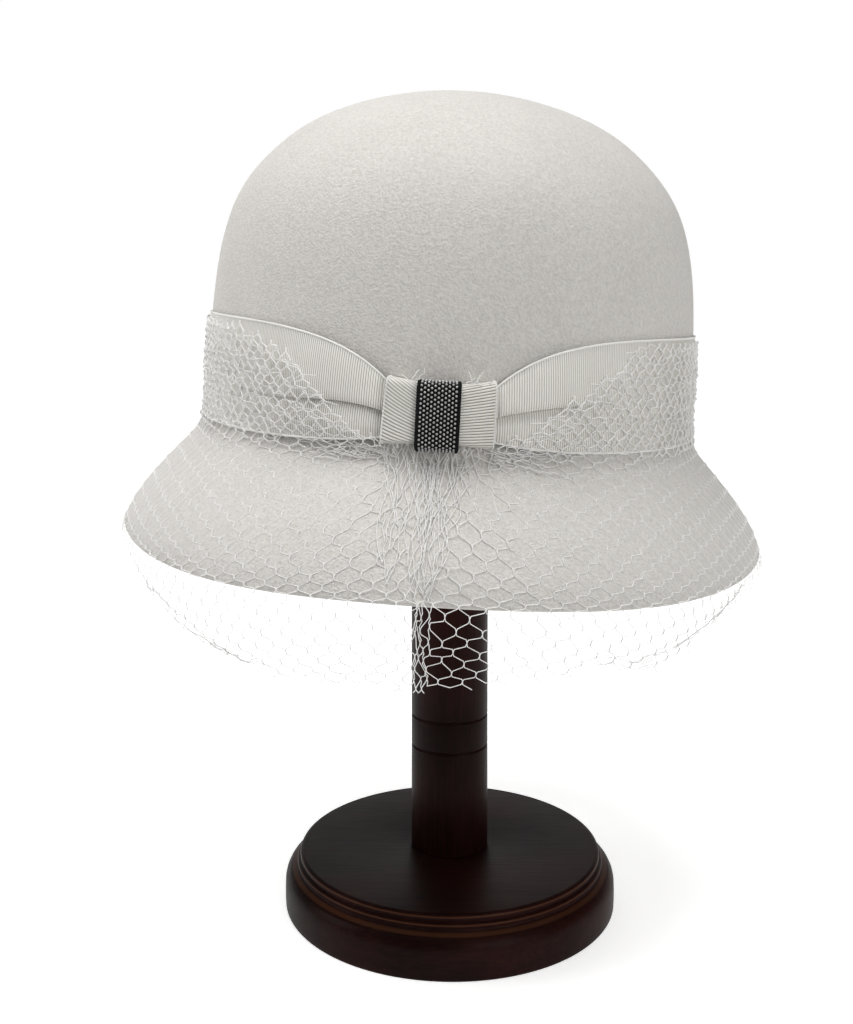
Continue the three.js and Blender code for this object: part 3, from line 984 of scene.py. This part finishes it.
def twist_points(lay, link, side, half):
    """A thread through one twist, from above; side says on which side of its neighbour it runs."""
    across, down, lift = link
    return [
        on_hat(lay, across + side * TWIST_OPEN, down - half, lift),
        on_hat(lay, across - side * TWIST_CROSSED, down, lift + abs(side) + side),
        on_hat(lay, across + side * TWIST_OPEN, down + half, lift),
    ]


def last_loop(lay, link, across, down):
    """The end of a thread at the net's edge, where it meets its neighbour in a loop."""
    return [on_hat(lay, across, down - EDGE_RISE, link[2])]


def knit(lay, columns, rows, row_step, lowest, rise, half):
    """Every thread of a layer as a line of points; half is half the length of a twist."""
    links, skipped = lattice(lay, columns, rows, row_step, lowest, rise)
    lines = []
    for strand in columns:
        line = []
        for row in rows:
            partner = partner_of(strand, row)
            if (partner, row) in skipped or partner not in columns:
                continue
            if (partner, row) in links:
                last = links[partner, row]
                line.extend(twist_points(lay, last, -TWIST if partner == strand else TWIST, half))
            elif line:
                lines.append(line + last_loop(lay, last, columns[partner], row * row_step))
                line = []
        if line:
            lines.append(line)
    return lines


lines = knit(
    roll_up, veil_columns, VEIL_ROWS, ROW_STEP,
    lowest=VEIL_LOWEST, rise=0, half=VEIL_HALF_TWIST,
)
upper_lines = knit(
    roll_round, fold_columns, FOLD_ROWS, FOLD_ROW,
    lowest=FOLD_LOWEST, rise=FOLD_RISE, half=FOLD_HALF_TWIST,
)
print("threads:", len(lines), "and in the fold over the ribbon:", len(upper_lines))

# %% [markdown]
# ## Loose threads
# Where the net is gathered under the bow its cut threads hang down in long loops. Others run out
# along the band's lower edge, and a few ends stand up above the bow. At both sides the net's lower
# edge rolls in, so that several threads lie along it. Each is a short wandering line.

# %% Threads under the bow
UNDER_BOW = -0.06  # the place of the net's upper edge there
BOW_LEFT = -9.5  # degrees from the front to where the first thread hangs
CHAINS = 10
CHAIN_SPREAD = 17
CHAIN_STEPS = 18
CHAIN_SWING = 0.16
CHAIN_LIFT = 0.3
CHAIN_DRAWN_IN = 0.45
SINGLE_DRAWN_IN = 0.35
DRIFT_KEPT = 0.6  # share of a thread's drift that lasts to its next point
DRIFT_DOWN = 0.035  # places that a thread moves down for a degree of drift
LOOSE_LIFT = 0.4
FALL_LEFT = 2  # degrees that a thread drifts to the left on its way down the brim
SINGLES = 10


def wander(start, end, count, swing, lift):
    """A loose thread from one (degrees, place) to another."""
    line = []
    drift = 0.0
    for step in range(count + 1):
        share = step / count
        drift = DRIFT_KEPT * drift + shake.gauss(0, swing)
        angle = start[0] + (end[0] - start[0]) * share + drift
        place = start[1] + (end[1] - start[1]) * share + DRIFT_DOWN * drift
        line.append(drape(place, math.radians(angle), lift + LOOSE_LIFT * shake.random()))
    return line


def chain_side(angle, fall, bulges, side):
    """One thread of a pair that meet between long cells; bulges are their count and half width."""
    cells, width = bulges
    line = []
    for step in range(CHAIN_STEPS + 1):
        share = step / CHAIN_STEPS
        bulge = side * width * abs(math.sin(cells * math.pi * share)) + shake.gauss(0, CHAIN_SWING)
        turn = angle * (1 - CHAIN_DRAWN_IN * share) - FALL_LEFT * share + bulge
        place = UNDER_BOW + (fall - UNDER_BOW) * share
        line.append(drape(place, math.radians(turn), CHAIN_LIFT * (1 + shake.random())))
    return line


for chain in range(CHAINS):
    angle = BOW_LEFT + CHAIN_SPREAD * (chain + shake.random()) / CHAINS
    fall = shake.uniform(0.45, 0.9)
    bulges = (shake.choice((2, 3)), shake.uniform(0.7, 1.5))
    for side in (-1, 1):
        lines.append(chain_side(angle, fall, bulges, side))
for single in range(SINGLES):
    angle = shake.uniform(BOW_LEFT, 7)
    fall = shake.uniform(0.2, 0.6)
    lower_end = (angle * (1 - SINGLE_DRAWN_IN * fall) - FALL_LEFT * fall, fall)
    lines.append(wander((angle, UNDER_BOW), lower_end, count=14, swing=0.65, lift=0.4))
print("threads with those under the bow:", len(lines))

# %% Threads along the band, along the lower edge and above the bow
BAND_ENDS = 10
HEM_THREADS = 9
HEM_STEP = 1.6
HEM_POINTS = 8
HEM_LIFT = 0.3
TUFTS = 13
TUFT_FOOT = -(KNOT_TOP - 0.8) / BAND_WIDTH

for side in (-1, 1):
    for end in range(BAND_ENDS):
        start = side * shake.uniform(7, 11)
        reach = side * shake.uniform(5, 18)
        height = shake.uniform(-0.02, 0.05)
        far_end = (start + reach, height + shake.uniform(-0.05, 0.16))
        lines.append(wander((start, height), far_end, count=12, swing=0.5, lift=0.3))
for side in (-1, 1):
    for end in range(HEM_THREADS):
        start = side * shake.uniform(22, 50)
        path = [start + side * HEM_STEP * step for step in range(HEM_POINTS)]
        offset = shake.uniform(-0.12, 0.02)
        places = [read(NET_BOTTOM, angle) + offset + shake.uniform(-0.03, 0.03) for angle in path]
        lines.append([drape(place, math.radians(angle), HEM_LIFT) for angle, place in zip(path, places)])
for tuft in range(TUFTS):
    angle = shake.choice((-1, 1)) * shake.uniform(4.2, 9.8)
    tip = (angle + shake.uniform(-2, 2), TUFT_FOOT - shake.uniform(0.02, 0.1))
    lines.append(wander((angle, TUFT_FOOT), tip, count=4, swing=0.2, lift=0.3))
thread_length = MM * sum((b - a).length for line in lines for a, b in zip(line, line[1:]))
print("threads in all:", len(lines), "with", round(thread_length, 1), "metres")

veil = hand_over(cord_lines("veil_net", lines, STRAND_RADIUS, thread), "veil")
net_fold = hand_over(cord_lines("net_fold", upper_lines, FOLD_RADIUS, thread), None)

# %% [markdown]
# ## The stand
# The foot, post and head are turned on a lathe, so each is one outline spun round its axis. The
# mouldings on the foot come from the outline, and a fine bevel softens every turned corner as
# lacquer and handling do.

# %% Turn a piece on the lathe
CORNER = math.radians(18)
TENON = 8
TENON_LENGTH = 10
SOCKET = TENON + SEAT
BASE_HEIGHT = 19.6
SOCKET_FLOOR = BASE_HEIGHT - TENON_LENGTH
# radius and height of the foot's outline, from the middle of its underside
BASE_OUTLINE = (
    (0, 0), (59.0, 0), (59.5, 0.6), (59.6, 3), (59.6, 6.5), (59.5, 9.4), (59.2, 10.8), (58.6, 12.1),
    (57.7, 13.2), (56.6, 13.9), (55.6, 14.3), (55.0, 14.8), (54.9, 15.4), (55.2, 15.9), (55.2, 16.4),
    (54.9, 16.8), (54.2, 17.1), (53.9, 17.4), (54.2, 17.9), (54.2, 18.6), (53.9, 19.2), (53.0, BASE_HEIGHT),
    (SOCKET, BASE_HEIGHT), (SOCKET, SOCKET_FLOOR), (0, SOCKET_FLOOR),
)


def turned(outline, steps, bevel):
    """Spin an outline that starts and ends on the axis, then soften its corners."""
    bm = bmesh.new()
    verts = [bm.verts.new((radius, 0, height)) for radius, height in outline]
    for lower, upper in zip(verts, verts[1:]):
        bm.edges.new((lower, upper))
    bmesh.ops.spin(
        bm, geom=bm.verts[:] + bm.edges[:], cent=(0, 0, 0), axis=(0, 0, 1),
        angle=2 * math.pi, steps=steps, use_merge=True,
    )
    bmesh.ops.remove_doubles(bm, verts=bm.verts, dist=MERGE_DISTANCE)
    bmesh.ops.recalc_face_normals(bm, faces=bm.faces)
    corners = [edge for edge in bm.edges if edge.calc_face_angle(0) > CORNER]
    bmesh.ops.bevel(
        bm, geom=corners, offset=bevel, offset_type="OFFSET", affect="EDGES",
        segments=3, profile=0.5, material=-1, clamp_overlap=True,
    )
    return bm


turned_base = turned(BASE_OUTLINE, steps=160, bevel=0.18)
base = finish_mesh(turned_base, "stand_base_dressed", ON_STAND, foot_wood)
hand_over(base, "stand_base")

# %% Post
TIP_GAP = 0.55
DOME = 30
HEAD_RIM = 4
HEAD_TOP = HEADLINE_HEIGHT + (CROWN_HEIGHT - FELT) * math.cos(HAT_LEAN) - TIP_GAP
HEAD_UNDERSIDE = HEAD_TOP - DOME - HEAD_RIM
POST_RADIUS = 13.8
POST_FOOT = BASE_HEIGHT + SEAT
POST_SHOULDER = HEAD_UNDERSIDE - SEAT
GROOVE = 0.5
GROOVE_HEIGHTS = (57.2, 68.2)

post_outline = [(0, POST_FOOT - TENON_LENGTH), (TENON, POST_FOOT - TENON_LENGTH)]
post_outline += [(TENON, POST_FOOT), (POST_RADIUS, POST_FOOT)]
for height in GROOVE_HEIGHTS:
    post_outline.append((POST_RADIUS, height - GROOVE))
    post_outline.append((POST_RADIUS - GROOVE, height))
    post_outline.append((POST_RADIUS, height + GROOVE))
post_outline += [(POST_RADIUS, POST_SHOULDER), (TENON, POST_SHOULDER)]
post_outline += [(TENON, POST_SHOULDER + TENON_LENGTH), (0, POST_SHOULDER + TENON_LENGTH)]
turned_post = turned(post_outline, steps=96, bevel=0.12)
post = finish_mesh(turned_post, "stand_post_dressed", ON_STAND, upright_wood)
hand_over(post, "stand_post")

# %% Head
HEAD_RADIUS = 48
DOME_STEPS = 24

head_outline = [(0, HEAD_UNDERSIDE + TENON_LENGTH), (SOCKET, HEAD_UNDERSIDE + TENON_LENGTH)]
head_outline += [(SOCKET, HEAD_UNDERSIDE), (HEAD_RADIUS - HEAD_RIM / 2, HEAD_UNDERSIDE)]
for step in range(DOME_STEPS):
    turn = math.pi / 2 * step / DOME_STEPS
    head_outline.append((HEAD_RADIUS * math.cos(turn), HEAD_TOP - DOME + DOME * math.sin(turn)))
head_outline.append((0, HEAD_TOP))
turned_head = turned(head_outline, steps=96, bevel=0.3)
head = finish_mesh(turned_head, "stand_head_dressed", ON_STAND, board_wood)
hand_over(head, "stand_head")

# %% [markdown]
# ## Studio
# A pale floor and a white room give the background. To the lens both are plain white. As sources
# of light they are dim in front of the hat and bright behind it, so that the crown keeps its
# shading: a ray's kind, read from the Light Path node, tells the two apart. Three large lights
# model the crown.

# %% Floor
FLOOR_HALF = 6000


def grey(level):
    return (level, level, level, 1)


floor_finish = Finish("pale_floor", {"Roughness": 0.9, "Emission Strength": 1.0})
spot = floor_finish.place()
distance = floor_finish.node("ShaderNodeVectorMath", {"operation": "LENGTH"}, {0: spot}, "Value")
toward_back = floor_finish.node("ShaderNodeSeparateXYZ", {}, {"Vector": spot}, "Y")
seen = floor_finish.node("ShaderNodeLightPath", {}, {}, "Is Camera Ray")
bright = 1 - (1 - floor_finish.smooth(toward_back, -0.3, -0.08)) * (1 - seen)
white = floor_finish.mix(floor_finish.noise(3, 1), grey(0.93), grey(0.96))
glow = floor_finish.mix(floor_finish.smooth(distance, 0.4, 1.5), grey(0.66), grey(1))
floor_finish.set("Base Color", floor_finish.mix(bright, grey(0.4), white))
floor_finish.set("Emission Color", floor_finish.mix(bright, grey(0.1), glow))
bm = bmesh.new()
bmesh.ops.create_grid(bm, x_segments=1, y_segments=1, size=FLOOR_HALF)
floor = finish_mesh(bm, "floor", ON_STAND, floor_finish)

# %% Lights
# name, place and size in metres, power in watts
LIGHTS = (
    ("light_above", (-0.15, -0.21, 1.22), 1.0, 12.6),
    ("light_left", (-1.25, -0.1, 0.6), 0.7, 4.0),
    ("light_right", (0.56, -0.9, 0.46), 0.7, 3.9),
)
LIGHT_TARGET = Vector((0, 0, 0.2))

for name, place, size, power in LIGHTS:
    data = bpy.data.lights.new(name, "AREA")
    data.shape = "DISK"
    data.size = size
    data.energy = power
    light = bpy.data.objects.new(name, data)
    light.location = place
    light.rotation_euler = (LIGHT_TARGET - Vector(place)).to_track_quat("-Z", "Y").to_euler()
    bpy.context.collection.objects.link(light)
print("lights:", [name for name, place, size, power in LIGHTS])

# %% Room
world = bpy.data.worlds.new("white_room")
world.use_nodes = True
room = Graph(world.node_tree)
toward = room.node("ShaderNodeTexCoord", {}, {}, "Generated")
behind = room.node("ShaderNodeSeparateXYZ", {}, {"Vector": toward}, "Y")
seen = room.node("ShaderNodeLightPath", {}, {}, "Is Camera Ray")
strength = 1 - (1 - room.smooth(behind, 0.7, 0.9, 0.03, 1.0)) * (1 - seen)
background = world.node_tree.nodes["Background"]
background.inputs["Color"].default_value = grey(1)
room.feed(background.inputs["Strength"], strength)
bpy.context.scene.world = world
bpy.context.scene.view_settings.view_transform = "Standard"
print("made", world.name)

# %% [markdown]
# ## Camera
# The lens stands a little above the brim, under half a metre from the post, and looks about three
# degrees down. The picture is framed low, which is a shift of the lens and not a further tilt, so
# the post stays upright.

# %% Camera
LOOK_DOWN = 3.16

camera_data = bpy.data.cameras.new("camera")
camera_data.lens = 44.74
camera_data.sensor_width = 36
camera_data.shift_y = -0.15
camera_data.clip_start = 0.01
camera = bpy.data.objects.new("camera", camera_data)
camera.location = (-0.0084, -0.455, 0.222)
camera.rotation_euler = (math.radians(90 - LOOK_DOWN), 0, 0)
bpy.context.collection.objects.link(camera)
bpy.context.scene.camera = camera
print("the camera looks", LOOK_DOWN, "degrees down")
